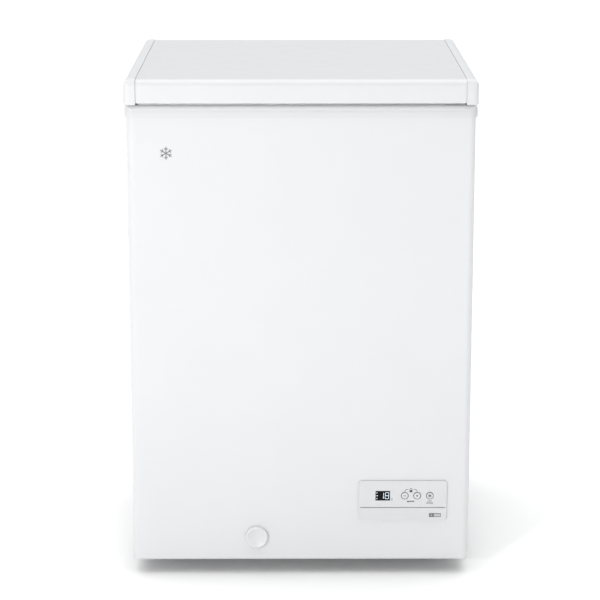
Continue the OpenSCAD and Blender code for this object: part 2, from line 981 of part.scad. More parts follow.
module drain_tube() {
    color("white") difference() {
        drain_route(drain_r, 0);
        drain_route(drain_r - drain_wall, 1);
    }
}

// Round push-in stopper: a spigot, and a head with a round edge and a dished face
module stopper(head_r, head_h, spigot, dish) {
    bore = drain_r - drain_wall;
    ball_r = (head_r * head_r * 0.6 + dish * dish) / (2 * dish);
    edge = 2.4;
    translate([0, 0, -spigot]) cylinder(h = spigot + 1, r = bore - drain_play);
    rotate_extrude() difference() {
        union() {
            translate([0, 0.2]) square([head_r - edge, head_h - 0.2]);
            translate([0, 0.2]) square([head_r, head_h - edge - 0.2]);
            translate([head_r - edge, head_h - edge]) circle(edge);
        }
        translate([-far, -far]) square([far, 2 * far]);
        translate([-1, -1]) square([head_r + 2, 1.2]);
        translate([0, head_h - dish + ball_r]) circle(ball_r);
    }
}

module drain_cap() {
    color("whitesmoke") translate([drain_x, front_y, drain_z]) rotate([90, 0, 0]) {
        stopper(drain_cap_r, 7, 16, 2.2);
    }
}

module drain_plug() {
    color("gray") translate([drain_x, drain_y, floor_z]) {
        stopper(15, 5, 14, 0.8);
        translate([0, 0, 3]) cylinder(h = 9, r = 4);
    }
}

// ---- Hinges ----

// Channel bracket on the back of the cabinet, with two ears for the pin
module hinge_bracket() {
    play = 0.02;
    ear_size = [axis_y + ear_r - back_y, axis_z - bracket_bottom];
    difference() {
        union() {
            box([-flange_x, back_y, bracket_bottom], [flange_x, back_y + web_t, web_top]);
            for (x = [-ear_x - ear_t, ear_x]) {
                along_x(x, x + ear_t) {
                    translate([back_y, bracket_bottom]) square(ear_size);
                    translate([axis_y, axis_z]) circle(ear_r);
                }
            }
            box([-ear_x, back_y + web_t, spring_bottom - 2], [ear_x, axis_y + ear_r, spring_bottom]);
        }
        rod_x(axis_y, axis_z, -ear_x - 5, ear_x + 5, pin_r + play);
        for (p = bracket_holes) {
            rod_y(p[0], p[1], back_y - 1, back_y + 3, 2);
        }
    }
}

module hinge_bracket_left() {
    color("silver") translate([-hinge_x, 0, 0]) hinge_bracket();
}

module hinge_bracket_right() {
    color("silver") translate([hinge_x, 0, 0]) hinge_bracket();
}

module hinge_pins() {
    end = ear_x + ear_t;
    color("silver") for (s = [-1, 1]) {
        translate([s * hinge_x, 0, 0]) {
            rod_x(axis_y, axis_z, -end - 1.5, end + 1.5, pin_r);
            for (x = [-end - 2, end + 0.2]) {
                rod_x(axis_y, axis_z, x, x + 1.8, pin_r + 2);
            }
        }
    }
}

// Leaf on the back of the lid, with the knuckle and the lift cam
module hinge_leaf() {
    cam_half = 7;
    difference() {
        union() {
            rod_x(axis_y, axis_z, -leaf_neck, leaf_neck, knuckle_r);
            box([-leaf_neck, lid_back, axis_z], [leaf_neck, lid_back + leaf_t, lid_bottom + 6]);
            box([-leaf_x, lid_back, lid_bottom + 5], [leaf_x, lid_back + leaf_t, total_h - 5]);
            along_x(-cam_half, cam_half) {
                translate([axis_y, axis_z]) polygon(concat([[-4, 0]], cam_points, [[0, 4]]));
            }
        }
        rod_x(axis_y, axis_z, -ear_x, ear_x, pin_r + pin_play);
        leaf_holes(2);
    }
}

module leaf_holes(r) {
    for (x = [-18, 18], z = [lid_bottom + 12, lid_bottom + 27]) {
        rod_y(x, z, lid_back - 13, lid_back + 3, r);
    }
}

module hinge_leaf_left() {
    color("silver") translate([-hinge_x, 0, 0]) hinge_leaf();
}

module hinge_leaf_right() {
    color("silver") translate([hinge_x, 0, 0]) hinge_leaf();
}

module hinge_leaf_screws() {
    color("silver") for (s = [-1, 1], x = [-18, 18], z = [lid_bottom + 12, lid_bottom + 27]) {
        rear_screw(s * hinge_x + x, z, lid_back + leaf_t - screw_l, lid_back + leaf_t);
    }
}

// Plunger that the spring presses up against the cam
module hinge_plunger() {
    box([-10, axis_y - 6, plunger_top - plunger_h], [10, axis_y + 7, plunger_top]);
    rod_z(0, axis_y + 0.5, plunger_top - plunger_h - 40, plunger_top - plunger_h + 1, 2.5);
}

module hinge_plunger_left() {
    color("dimgray") translate([-hinge_x, 0, 0]) hinge_plunger();
}

module hinge_plunger_right() {
    color("dimgray") translate([hinge_x, 0, 0]) hinge_plunger();
}

// Coil spring swept as rings of points along a helix
module hinge_spring() {
    coils = 11;
    steps = 10;
    sides = 6;
    rise = spring_top - spring_bottom - 2 * spring_wire - 0.4;
    rings = coils * steps;
    points = [
        for (i = [0:rings], k = [0:sides - 1])
            let (a = i * 360 / steps, b = k * 360 / sides, r = spring_r + spring_wire * cos(b))
            [r * cos(a), r * sin(a), spring_wire + 0.2 + rise * i / rings + spring_wire * sin(b)]
    ];
    around = [
        for (i = [0:rings - 1], k = [0:sides - 1])
            let (m = (k + 1) % sides, p = i * sides)
            each [[p + k, p + sides + k, p + sides + m], [p + k, p + sides + m, p + m]]
    ];
    ends = [
        for (k = [1:sides - 2])
            each [[0, k, k + 1], [rings * sides, rings * sides + k + 1, rings * sides + k]]
    ];
    translate([0, axis_y + 0.5, spring_bottom]) polyhedron(points, concat(around, ends));
}

module hinge_spring_left() {
    color("gray") translate([-hinge_x, 0, 0]) hinge_spring();
}

module hinge_spring_right() {
    color("gray") translate([hinge_x, 0, 0]) hinge_spring();
}

// ---- Lid ----

// Outline of the lid's middle from the side, drawn in by g, open below. It lies a little inside the end caps
module lid_outline(g) {
    lo = [lid_front + panel_drop + g, lid_bottom - 60];
    hi = [lid_back - g, total_h - panel_drop - g];
    round_rect(lo, hi, lid_edge_r - g);
}

module lid_panel() {
    end = panel_half - seam;
    color("white") difference() {
        intersection() {
            along_x(-end, end) {
                lid_outline(0);
            }
            box([-far, lid_front - 1, lid_bottom], [far, lid_back + 1, far]);
        }
        intersection() {
            along_x(-far, far) {
                lid_outline(sheet);
            }
            box([-far, lid_front, lid_bottom + sheet], [far, lid_back, far]);
        }
        box([-far, lid_front + lid_lip, lid_bottom - 1], [far, lid_back - lid_lip, lid_bottom + 2]);
        for (s = [-1, 1]) {
            translate([s * hinge_x, 0, 0]) leaf_holes(2);
        }
    }
}

// Right-hand end cap: round along its top, front and upright edges, and hollow inside.
// It reaches down past the lid's underside and hides the end of the gasket
module lid_end_cap() {
    low = lid_bottom - cap_skirt;
    difference() {
        intersection() {
            block([panel_half - 60, lid_front, low], [lid_half, lid_back, total_h], 8);
            along_y(lid_front - 1, lid_back + 1) {
                round_rect([panel_half - 60, lid_bottom - 60], [lid_half, total_h], cap_r);
            }
            along_x(0, far) {
                round_rect([lid_front, lid_bottom - 60], [lid_back, total_h], lid_edge_r);
            }
            box([panel_half, lid_front - 1, low - 1], [far, lid_back + 1, far]);
        }
        box(
            [panel_half - 1, lid_front + 2 * cap_wall, low + cap_wall],
            [lid_half - 2 * cap_wall, lid_back - 2 * cap_wall, total_h - 2 * cap_wall]
        );
    }
}

module lid_end_cap_right() {
    color("white") lid_end_cap();
}

module lid_end_cap_left() {
    color("white") mirror([1, 0, 0]) lid_end_cap();
}

// Plug that reaches down into the mouth, drawn in by g
module lid_plug(g, top) {
    block([-plug_x + g, plug_front + g, lid_bottom - plug_d + g], [plug_x - g, plug_back - g, top], 24 - g);
}

module lid_foam() {
    end = panel_half - seam - 0.5;
    color("khaki") difference() {
        union() {
            intersection() {
                along_x(-end, end) {
                    lid_outline(sheet);
                }
                box([-far, lid_front, lid_bottom + lid_liner_t], [far, lid_back, far]);
            }
            lid_plug(lid_liner_t, lid_bottom + 5);
        }
        for (s = [-1, 1]) {
            translate([s * hinge_x, 0, 0]) leaf_holes(2);
        }
    }
}

module lid_liner() {
    end = panel_half - seam - 0.5;
    color("white") difference() {
        union() {
            box(
                [-end, lid_front + liner_edge, lid_bottom],
                [end, lid_back - liner_edge, lid_bottom + lid_liner_t]
            );
            lid_plug(0, lid_bottom + 1);
        }
        lid_plug(lid_liner_t, lid_bottom + 5);
    }
}

module lid_gasket() {
    color("lightgray") difference() {
        block([-gasket_x, gasket_front, lid_bottom - gasket_h], [gasket_x, gasket_back, lid_bottom], gasket_r);
        block(
            [-gasket_x + gasket_w, gasket_front + gasket_w, 0],
            [gasket_x - gasket_w, gasket_back - gasket_w, far],
            gasket_r
        );
    }
}

// ---- Basket ----

// Flat grid of wires: size, and how many openings each way, with a deeper bar on its upper edge
module grid(size, count, top_bar) {
    step = [(size[0] - wire) / count[0], (size[1] - wire) / count[1]];
    difference() {
        square(size);
        for (i = [0:count[0] - 1], k = [0:count[1] - 1]) {
            cut = (k == count[1] - 1) ? step[1] - wire - top_bar : step[1] - wire;
            translate([wire + i * step[0], wire + k * step[1]]) square([step[0] - wire, cut]);
        }
    }
}

module basket_floor() {
    color("white") translate(basket_lo) linear_extrude(wire) grid([basket_w, basket_d], [5, 11], 0);
}

module basket_side_walls() {
    color("white") for (x = [basket_lo[0], basket_hi[0] - wire]) {
        along_x(x, x + wire) {
            translate([basket_lo[1], basket_lo[2] + wire]) grid([basket_d, basket_h - wire], [11, 5], 2);
        }
    }
}

module basket_end_walls() {
    inner_w = basket_w - 2 * wire;
    color("white") for (y = [basket_lo[1], basket_hi[1] - wire]) {
        along_y(y, y + wire) {
            translate([basket_lo[0] + wire, basket_lo[2] + wire]) grid([inner_w, basket_h - wire], [5, 5], 2);
        }
    }
}

// Hooks on the basket's ends: each rises from the rim, and its outer bar rests on the ledge
module basket_hooks() {
    x0 = basket_lo[0] + 46;
    x1 = basket_hi[0] - 46;
    reach = ledge_w / 2 + 0.5;
    ends = [
        [basket_lo[1] + wire / 2, tank_front - reach],
        [basket_hi[1] - wire / 2, tank_back + reach]
    ];
    color("white") for (e = ends) {
        pipe([
            [x0, e[0], basket_hi[2]], [x0, e[0], hook_z], [x0, e[1], hook_z],
            [x1, e[1], hook_z], [x1, e[0], hook_z], [x1, e[0], basket_hi[2]]
        ], hook_r);
    }
}

// ---- Drawing ----

front_panel();
side_panel_left();
side_panel_right();
back_panel();
base_panel();
inner_liner();
cabinet_foam();
collar_frame();
feet();
rear_spacers();
front_badge();
side_vent_grille();
machine_room_liner();
rear_cover();
rear_screws();
cord_gland();
compressor();
compressor_mount_plate();
compressor_grommets();
compressor_bolts();
relay_cover();
filter_drier();
suction_pipe();
discharge_pipe();
capillary_tube();
condenser_coil();
evaporator_coil();
temperature_sensor();
control_housing();
display_window();
panel_sticker();
control_pcb();
power_box();
wiring_harness();
minus_button();
plus_button();
fast_freeze_button();
drain_tube();
drain_cap();
drain_plug();
hinge_bracket_left();
hinge_bracket_right();
hinge_pins();
hinge_spring_left();
hinge_spring_right();
hinge_plunger_left();
hinge_plunger_right();
hinge_leaf_left();
hinge_leaf_right();
hinge_leaf_screws();
lid_panel();
lid_end_cap_left();
lid_end_cap_right();
lid_foam();
lid_liner();
lid_gasket();
basket_floor();
basket_side_walls();
basket_end_walls();
basket_hooks();
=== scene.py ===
import json
import math

import bpy
from mathutils import Matrix, Vector


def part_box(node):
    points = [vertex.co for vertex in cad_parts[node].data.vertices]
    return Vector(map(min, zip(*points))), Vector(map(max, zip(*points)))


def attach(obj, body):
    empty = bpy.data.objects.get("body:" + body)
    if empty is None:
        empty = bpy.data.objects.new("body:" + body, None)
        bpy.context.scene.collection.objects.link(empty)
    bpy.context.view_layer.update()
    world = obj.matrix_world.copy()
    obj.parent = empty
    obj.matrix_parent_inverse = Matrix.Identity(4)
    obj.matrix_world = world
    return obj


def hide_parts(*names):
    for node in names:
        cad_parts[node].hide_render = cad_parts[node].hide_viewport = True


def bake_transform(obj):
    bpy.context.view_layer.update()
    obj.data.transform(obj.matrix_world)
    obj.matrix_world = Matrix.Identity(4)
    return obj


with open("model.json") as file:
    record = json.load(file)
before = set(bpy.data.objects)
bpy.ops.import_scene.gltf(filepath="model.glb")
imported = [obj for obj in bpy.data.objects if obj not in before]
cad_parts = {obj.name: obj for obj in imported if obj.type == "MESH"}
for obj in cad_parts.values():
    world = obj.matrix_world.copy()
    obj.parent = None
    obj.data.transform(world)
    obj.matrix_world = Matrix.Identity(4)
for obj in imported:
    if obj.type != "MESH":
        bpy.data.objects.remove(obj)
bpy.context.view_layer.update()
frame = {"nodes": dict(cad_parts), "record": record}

scene = bpy.context.scene
MM = 0.001


# ---- Materials ----

class Look:
    """A Principled material whose colour, roughness and relief vary with noise in the object's own metres."""

    def __init__(self, name, colour, rough, metal=0.0, coat=0.0, ior=1.5, sheen=0.0):
        self.material = bpy.data.materials.new(name)
        self.material.use_nodes = True
        self.tree = self.material.node_tree
        self.shader = next(n for n in self.tree.nodes if n.type == "BSDF_PRINCIPLED")
        sockets = self.shader.inputs
        sockets["Base Color"].default_value = (*colour, 1)
        sockets["Roughness"].default_value = rough
        sockets["Metallic"].default_value = metal
        sockets["Coat Weight"].default_value = coat
        sockets["Coat Roughness"].default_value = 0.12
        sockets["IOR"].default_value = ior
        sockets["Sheen Weight"].default_value = sheen
        self.coords = self.tree.nodes.new("ShaderNodeTexCoord").outputs["Object"]

    def link(self, a, b):
        self.tree.links.new(a, b)

    def place(self, stretch):
        """The object's coordinates, multiplied by stretch along each axis."""
        mapping = self.tree.nodes.new("ShaderNodeMapping")
        mapping.inputs["Scale"].default_value = stretch
        self.link(self.coords, mapping.inputs["Vector"])
        return mapping.outputs["Vector"]

    def noise(self, scale, detail=2.0, stretch=(1, 1, 1)):
        """Smooth noise with scale features to the metre."""
        node = self.tree.nodes.new("ShaderNodeTexNoise")
        node.inputs["Scale"].default_value = scale
        node.inputs["Detail"].default_value = detail
        self.link(self.place(stretch), node.inputs["Vector"])
        return node.outputs["Fac"]

    def cells(self, scale, output="Distance", stretch=(1, 1, 1)):
        """Voronoi cells with scale cells to the metre: distance to a cell's middle, or the cell's colour."""
        node = self.tree.nodes.new("ShaderNodeTexVoronoi")
        node.inputs["Scale"].default_value = scale
        self.link(self.place(stretch), node.inputs["Vector"])
        return node.outputs[output]

    def spread(self, socket, low, high, start=0.3, end=0.7):
        """The socket's values from start to end, carried to low and high."""
        node = self.tree.nodes.new("ShaderNodeMapRange")
        for name, value in (("From Min", start), ("From Max", end), ("To Min", low), ("To Max", high)):
            node.inputs[name].default_value = value
        self.link(socket, node.inputs["Value"])
        return node.outputs["Result"]

    def tint(self, socket, colour, amount, start=0.3, end=0.7):
        """Mixes colour into the base colour by up to amount, where the socket is high."""
        base = self.shader.inputs["Base Color"]
        mix = self.tree.nodes.new("ShaderNodeMixRGB")
        if base.is_linked:
            self.link(base.links[0].from_socket, mix.inputs["Color1"])
        else:
            mix.inputs["Color1"].default_value = base.default_value
        mix.inputs["Color2"].default_value = (*colour, 1)
        self.link(self.spread(socket, 0.0, amount, start, end), mix.inputs["Fac"])
        self.link(mix.outputs["Color"], base)
        return self

    def gloss(self, socket, low, high, start=0.3, end=0.7):
        """Roughness from low to high with the socket."""
        self.link(self.spread(socket, low, high, start, end), self.shader.inputs["Roughness"])
        return self

    def relief(self, socket, height):
        """Relief of that height in metres, on top of any relief already there."""
        node = self.tree.nodes.new("ShaderNodeBump")
        node.inputs["Strength"].default_value = 1.0
        node.inputs["Distance"].default_value = height
        self.link(socket, node.inputs["Height"])
        normal = self.shader.inputs["Normal"]
        if normal.is_linked:
            self.link(normal.links[0].from_socket, node.inputs["Normal"])
        self.link(node.outputs["Normal"], normal)
        return self

    def glow(self, colour, strength):
        self.shader.inputs["Emission Color"].default_value = (*colour, 1)
        self.shader.inputs["Emission Strength"].default_value = strength
        return self


def darker(colour, share):
    """The colour times share."""
    return tuple(c * share for c in colour)


def enamel(name, colour, rough=0.32):
    """Stoved paint on sheet steel: faint orange peel under a thin gloss."""
    look = Look(name, colour, rough, coat=0.4)
    look.tint(look.noise(7, 3), darker(colour, 0.975), 0.6)
    look.gloss(look.noise(40, 3), rough - 0.04, rough + 0.05)
    look.relief(look.noise(420, 2), 0.000012)
    return look.relief(look.noise(60, 1), 0.00002)


def moulding(name, colour, rough=0.45, grain=0.00002):
    """Moulded plastic with a fine spark-eroded grain."""
    look = Look(name, colour, rough)
    look.tint(look.noise(11, 3), darker(colour, 0.965), 0.6)
    look.gloss(look.noise(90, 2), rough - 0.05, rough + 0.06)
    look.relief(look.noise(1500, 2), grain)
    return look.relief(look.noise(45, 1), grain)


def rubber(name, colour, rough=0.75):
    """Soft black or grey rubber with bloom and a fine drag grain."""
    look = Look(name, colour, rough, sheen=0.15)
    look.tint(look.noise(60, 4), tuple(min(1, c * 1.5 + 0.02) for c in colour), 0.5)
    look.gloss(look.noise(140, 3), rough - 0.1, rough + 0.1)
    return look.relief(look.noise(1100, 3), 0.00004)


def zinc(name, colour, rough=0.42):
    """Galvanised sheet: spangles of differing brightness."""
    look = Look(name, colour, rough, metal=0.85)
    spangle = look.cells(140, "Color")
    look.tint(spangle, darker(colour, 0.72), 0.55, 0.2, 0.9)
    look.tint(look.noise(9, 4), darker(colour, 0.8), 0.4)
    look.gloss(spangle, rough - 0.1, rough + 0.14, 0.1, 0.9)
    return look.relief(look.noise(900, 2), 0.00001)


def brushed(name, colour, rough=0.35, along=(40, 40, 1)):
    """Rolled or drawn steel: fine lines along one axis, and a little tarnish."""
    look = Look(name, colour, rough, metal=1.0)
    lines = look.noise(60, 4, along)
    look.tint(lines, darker(colour, 0.82), 0.7)
    look.tint(look.noise(35, 4), darker(colour, 0.75), 0.35)
    look.gloss(lines, rough - 0.07, rough + 0.12)
    return look.relief(lines, 0.00001)


def copper_tube(name, colour):
    """Drawn copper with darker oxide and brazing heat stains."""
    look = Look(name, colour, 0.34, metal=1.0)
    look.tint(look.noise(24, 5), (0.35, 0.16, 0.09), 0.6, 0.42, 0.72)
    look.tint(look.noise(90, 3), (0.9, 0.6, 0.42), 0.3)
    look.gloss(look.noise(70, 4), 0.24, 0.5)
    return look.relief(look.noise(700, 2), 0.00002)


def foam(name, colour):
    """Cut polyurethane foam: small open bubbles."""
    look = Look(name, colour, 0.9, sheen=0.1)
    bubbles = look.cells(520)
    look.tint(bubbles, darker(colour, 0.7), 0.6, 0.2, 0.7)
    look.tint(look.noise(14, 4), (0.93, 0.84, 0.58), 0.5)
    return look.relief(bubbles, 0.0004)


def stucco(name, colour):
    """Embossed and lacquered aluminium sheet, as the walls of the tank."""
    look = Look(name, colour, 0.34, metal=0.25, coat=0.2)
    pebbles = look.noise(190, 2)
    look.tint(pebbles, darker(colour, 0.9), 0.5)
    look.gloss(look.noise(30, 3), 0.28, 0.42)
    return look.relief(pebbles, 0.00035)


def circuit(name):
    """Solder mask with copper tracks under it."""
    look = Look(name, (0.012, 0.13, 0.05), 0.35, coat=0.4)
    tracks = look.cells(260, "Distance", (1, 1, 3))
    look.tint(tracks, (0.05, 0.3, 0.12), 0.9, 0.42, 0.5)
    return look.relief(tracks, 0.00003)


def silver_lacquer(name, colour, rough=0.34):
    """Silver lacquer on plastic: fine flakes under a satin coat."""
    look = Look(name, colour, rough, metal=0.6, coat=0.1)
    flakes = look.cells(2600, "Color")
    look.tint(flakes, darker(colour, 0.86), 0.5, 0.1, 0.9)
    look.tint(look.noise(16, 2), darker(colour, 0.95), 0.5)
    look.gloss(look.noise(300, 2), rough - 0.06, rough + 0.06)
    return look.relief(look.noise(1800, 2), 0.000012)


def gloss_black(name):
    """Smoked window: gloss plastic with faint ripple."""
    look = Look(name, (0.004, 0.004, 0.006), 0.08, ior=1.2)
    look.tint(look.noise(30, 2), (0.012, 0.012, 0.016), 0.7)
    look.gloss(look.noise(70, 3), 0.05, 0.14)
    return look.relief(look.noise(25, 1), 0.00001)


def lit_digit(name):
    """A lit segment: pale blue-white, with a faint uneven tone."""
    look = Look(name, (0.75, 0.85, 0.95), 0.4)
    look.glow((0.82, 0.92, 1.0), 0.7)
    look.tint(look.noise(900, 2), (0.6, 0.75, 0.9), 0.4)
    return look.relief(look.noise(1500, 1), 0.000005)


def printed_ink(name, colour):
    """Screen-printed ink, a little uneven in its film."""
    look = Look(name, colour, 0.5)
    look.tint(look.noise(2200, 2), tuple(c + 0.06 for c in colour), 0.5)
    look.gloss(look.noise(900, 2), 0.42, 0.6)
    return look.relief(look.noise(2500, 2), 0.000006)


WHITE = (0.7, 0.708, 0.722)
SILVER = (0.68, 0.688, 0.7)
INK = (0.025, 0.026, 0.03)
looks = {
    "white_enamel": enamel("white_enamel_paint", WHITE),
    "zinc_sheet": zinc("galvanised_sheet", (0.6, 0.61, 0.62)),
    "tank_enamel": stucco("tank_stucco", (0.74, 0.755, 0.77)),
    "insulation_foam": foam("polyurethane_foam", (0.86, 0.74, 0.45)),
    "white_moulding": moulding("white_moulded_plastic", WHITE, 0.38, 0.000015),
    "lid_liner_plastic": moulding("formed_liner_plastic", (0.76, 0.775, 0.79), 0.36, 0.00004),
    "gasket_vinyl": rubber("gasket_grey_vinyl", (0.86, 0.865, 0.872), 0.6),
    "foot_plastic": moulding("black_moulded_plastic", (0.03, 0.03, 0.032), 0.5, 0.00005),
    "vent_plastic": moulding("vent_grey_plastic", (0.68, 0.69, 0.705), 0.5, 0.00003),
    "mount_rubber": rubber("mount_black_rubber", (0.02, 0.02, 0.021)),
    "compressor_paint": enamel("compressor_black_paint", (0.018, 0.018, 0.02), 0.36),
    "copper": copper_tube("copper_tube", (0.83, 0.44, 0.28)),
    "coil_aluminium": brushed("coil_aluminium_tube", (0.78, 0.79, 0.8), 0.38, (8, 8, 8)),
    "hinge_steel": brushed("hinge_plated_steel", (0.6, 0.61, 0.63), 0.36),
    "fastener_steel": brushed("fastener_bright_steel", (0.66, 0.67, 0.68), 0.28, (12, 12, 12)),
    "spring_steel": brushed("spring_dark_steel", (0.34, 0.35, 0.37), 0.34, (10, 10, 10)),
    "plunger_nylon": moulding("plunger_black_nylon", (0.035, 0.035, 0.038), 0.42, 0.00003),
    "panel_silver": silver_lacquer("panel_silver_lacquer", SILVER),
    "button_silver": silver_lacquer("button_silver_lacquer", darker(SILVER, 1.04), 0.34),
    "smoked_window": gloss_black("smoked_window_gloss"),
    "label_film": printed_ink("label_dark_film", (0.13, 0.13, 0.14)),
    "circuit_board": circuit("circuit_board_mask"),
    "white_plastic": moulding("white_inner_plastic", (0.76, 0.765, 0.775), 0.45),
    "wire_insulation": rubber("wire_black_insulation", (0.03, 0.03, 0.03), 0.55),
    "drain_cap_plastic": moulding("drain_cap_plastic", WHITE, 0.36, 0.00001),
    "drain_plug_rubber": rubber("drain_plug_grey_rubber", (0.3, 0.305, 0.31)),
    "basket_coating": moulding("basket_white_coating", (0.78, 0.785, 0.795), 0.3, 0.00003),
    "badge_grey": brushed("badge_grey_metal", (0.2, 0.205, 0.22), 0.38, (10, 10, 10)),
}
for part in frame["record"]["subparts"]:
    mesh = frame["nodes"][part["node"]].data
    mesh.materials.clear()
    mesh.materials.append(looks[part["material_slot"]].material)

# The collar is one shade darker than the other mouldings
collar_mesh = frame["nodes"]["collar_frame"].data
collar_mesh.materials.clear()
collar_mesh.materials.append(moulding("collar_satin_plastic", darker(WHITE, 0.945), 0.36, 0.000012).material)

# The dark ink draws the print, and also the rings at the buttons' rims, which are painted shade of the gaps
# round the buttons
ink = printed_ink("dark_ink_and_rim_shade", INK).material
lit = lit_digit("display_lit_segment").material
pale_film = printed_ink("label_pale_film", (0.46, 0.465, 0.475)).material


# ---- Mesh helpers, in millimetres ----

class Shape:
    """Closed parts of one mesh, in millimetres in the frame that the model shares."""

    def __init__(self):
        self.points = []
        self.faces = []

    def add(self, points, faces):
        start = len(self.points)
        self.points += [tuple(p) for p in points]
        self.faces += [tuple(start + i for i in face) for face in faces]

    def rings(self, rings, closed=False):
        """Skin over rings with equal numbers of points, capped unless the rings close on themselves."""
        n = len(rings[0])
        count = len(rings)
        faces = []
        for k in range(count if closed else count - 1):
            a, b = k * n, (k + 1) % count * n
            faces += [(a + i, a + (i + 1) % n, b + (i + 1) % n, b + i) for i in range(n)]
        if not closed:
            faces.append(tuple(range(n - 1, -1, -1)))
            faces.append(tuple((count - 1) * n + i for i in range(n)))
        self.add([p for ring in rings for p in ring], faces)

    def tube(self, path, r, sides=12, closed=False):
        """Round bar along a path. Its rings turn with the path and don't twist."""
        path = [Vector(p) for p in path]
        n = len(path)
        side = None
        rings = []
        for i, p in enumerate(path):
            ahead = path[(i + 1) % n] if closed or i < n - 1 else p
            behind = path[i - 1] if closed or i > 0 else p
            along = (ahead - behind).normalized()
            if side is None:
                side = along.orthogonal().normalized()
            side = (side - along * side.dot(along)).normalized()
            up = along.cross(side)
            turn = [2 * math.pi * k / sides for k in range(sides)]
            rings.append([p + (side * math.cos(t) + up * math.sin(t)) * r for t in turn])
        self.rings(rings, closed)

    def lathe(self, profile, place, steps=48):
        """Profile of (radius, height) pairs turned about the place's z axis, where it starts and ends."""
        turn = [2 * math.pi * k / steps for k in range(steps)]
        rings = []
        for r, h in profile[1:-1]:
            rings.append([place @ Vector((r * math.cos(t), r * math.sin(t), h)) for t in turn])
        low = place @ Vector((0, 0, profile[0][1]))
        high = place @ Vector((0, 0, profile[-1][1]))
        points = [p for ring in rings for p in ring] + [low, high]
        last = (len(rings) - 1) * steps
        faces = []
        for k in range(len(rings) - 1):
            a, b = k * steps, (k + 1) * steps
            faces += [(a + i, a + (i + 1) % steps, b + (i + 1) % steps, b + i) for i in range(steps)]
        faces += [(len(points) - 2, (i + 1) % steps, i) for i in range(steps)]
        faces += [(len(points) - 1, last + i, last + (i + 1) % steps) for i in range(steps)]
        self.add(points, faces)

    def plate(self, outline, y, thick):
        """Flat mark of (x, z) points that stands on the plane y and faces the front."""
        back = [(x, y, z) for x, z in outline]
        front = [(x, y - thick, z) for x, z in outline]
        self.rings([back, front])


def piece(name, shape, material, body, replaces=(), smooth=35):
    """The shape as a piece with the given material that rides on a body, if one is given."""
    mesh = bpy.data.meshes.new(name)
    mesh.from_pydata([Vector(p) * MM for p in shape.points], [], shape.faces)
    mesh.update()
    mesh.materials.append(material)
    for face in mesh.polygons:
        face.use_smooth = True
    mesh.set_sharp_from_angle(angle=math.radians(smooth))
    obj = bpy.data.objects.new(name, mesh)
    scene.collection.objects.link(obj)
    if replaces:
        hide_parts(*replaces)
    if body:
        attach(obj, body)
    return obj


def facing_front(x, y, z):
    """A place whose z axis points to the front."""
    return Matrix.Translation((x, y, z)) @ Matrix.Rotation(math.radians(90), 4, "X")


def facing_back(x, y, z):
    """A place whose z axis points to the back."""
    return Matrix.Translation((x, y, z)) @ Matrix.Rotation(math.radians(-90), 4, "X")


def arc(centre, r, start, end, steps):
    """Points of an arc in the plane, with angles in degrees."""
    angles = [math.radians(start + (end - start) * i / steps) for i in range(steps + 1)]
    return [(centre[0] + r * math.cos(a), centre[1] + r * math.sin(a)) for a in angles]


def round_corners(lo, hi, r, steps=6):
    """Rectangle between two corners of the plane with round corners, anticlockwise."""
    corners = [
        ((hi[0] - r, lo[1] + r), -90), ((hi[0] - r, hi[1] - r), 0),
        ((lo[0] + r, hi[1] - r), 90), ((lo[0] + r, lo[1] + r), 180),
    ]
    return [p for centre, start in corners for p in arc(centre, r, start, start + 90, steps)]


def stroke(points, width):
    """Outline of a line of that width along the points of the plane."""
    points = [Vector(p) for p in points]
    left, right = [], []
    for i, p in enumerate(points):
        along = (points[min(i + 1, len(points) - 1)] - points[max(i - 1, 0)]).normalized()
        across = Vector((-along.y, along.x)) * width / 2
        left.append(tuple(p + across))
        right.append(tuple(p - across))
    return right + left[::-1]


def rounded_path(points, r, steps=5):
    """The points with each inner corner turned into an arc of radius r."""
    points = [Vector(p) for p in points]
    path = [points[0]]
    for last, p, following in zip(points, points[1:], points[2:]):
        before = (last - p).normalized()
        after = (following - p).normalized()
        half = before.angle(after) / 2
        reach = r / math.tan(half)
        middle = p + (before + after).normalized() * (r / math.sin(half))
        a, b = p + before * reach - middle, p + after * reach - middle
        turn = a.angle(b)
        for k in range(steps + 1):
            t = k / steps
            share = (math.sin((1 - t) * turn), math.sin(t * turn))
            path.append(middle + (a * share[0] + b * share[1]) / math.sin(turn))
    return [*path, points[-1]]


def in_mm(node):
    """A CAD node's lowest and highest corner, in millimetres."""
    lo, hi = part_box(node)
    return lo / MM, hi / MM


# ---- Control panel: display and printed marks ----

window_lo, window_hi = in_mm("display_window")
housing_lo, _ = in_mm("control_housing")
minus_lo, minus_hi = in_mm("minus_button")
plus_lo, plus_hi = in_mm("plus_button")
freeze_lo, freeze_hi = in_mm("fast_freeze_button")
face_y = housing_lo.y
print_t = 0.05
minus_x = (minus_lo.x + minus_hi.x) / 2
plus_x = (plus_lo.x + plus_hi.x) / 2
freeze_x = (freeze_lo.x + freeze_hi.x) / 2
button_z = (minus_lo.z + minus_hi.z) / 2
button_r = 6.3


def segment(x0, z0, x1, z1, width):
    """Six-sided bar of a lit digit, from end to end."""
    a, b = Vector((x0, z0)), Vector((x1, z1))
    along = (b - a).normalized() * width / 2
    across = Vector((-along.y, along.x))
    gap = along * 0.35
    a, b = a + gap, b - gap
    low_side = [a + along - across, b - along - across]
    high_side = [b - along + across, a + along + across]
    return [tuple(p) for p in (a, *low_side, b, *high_side)]


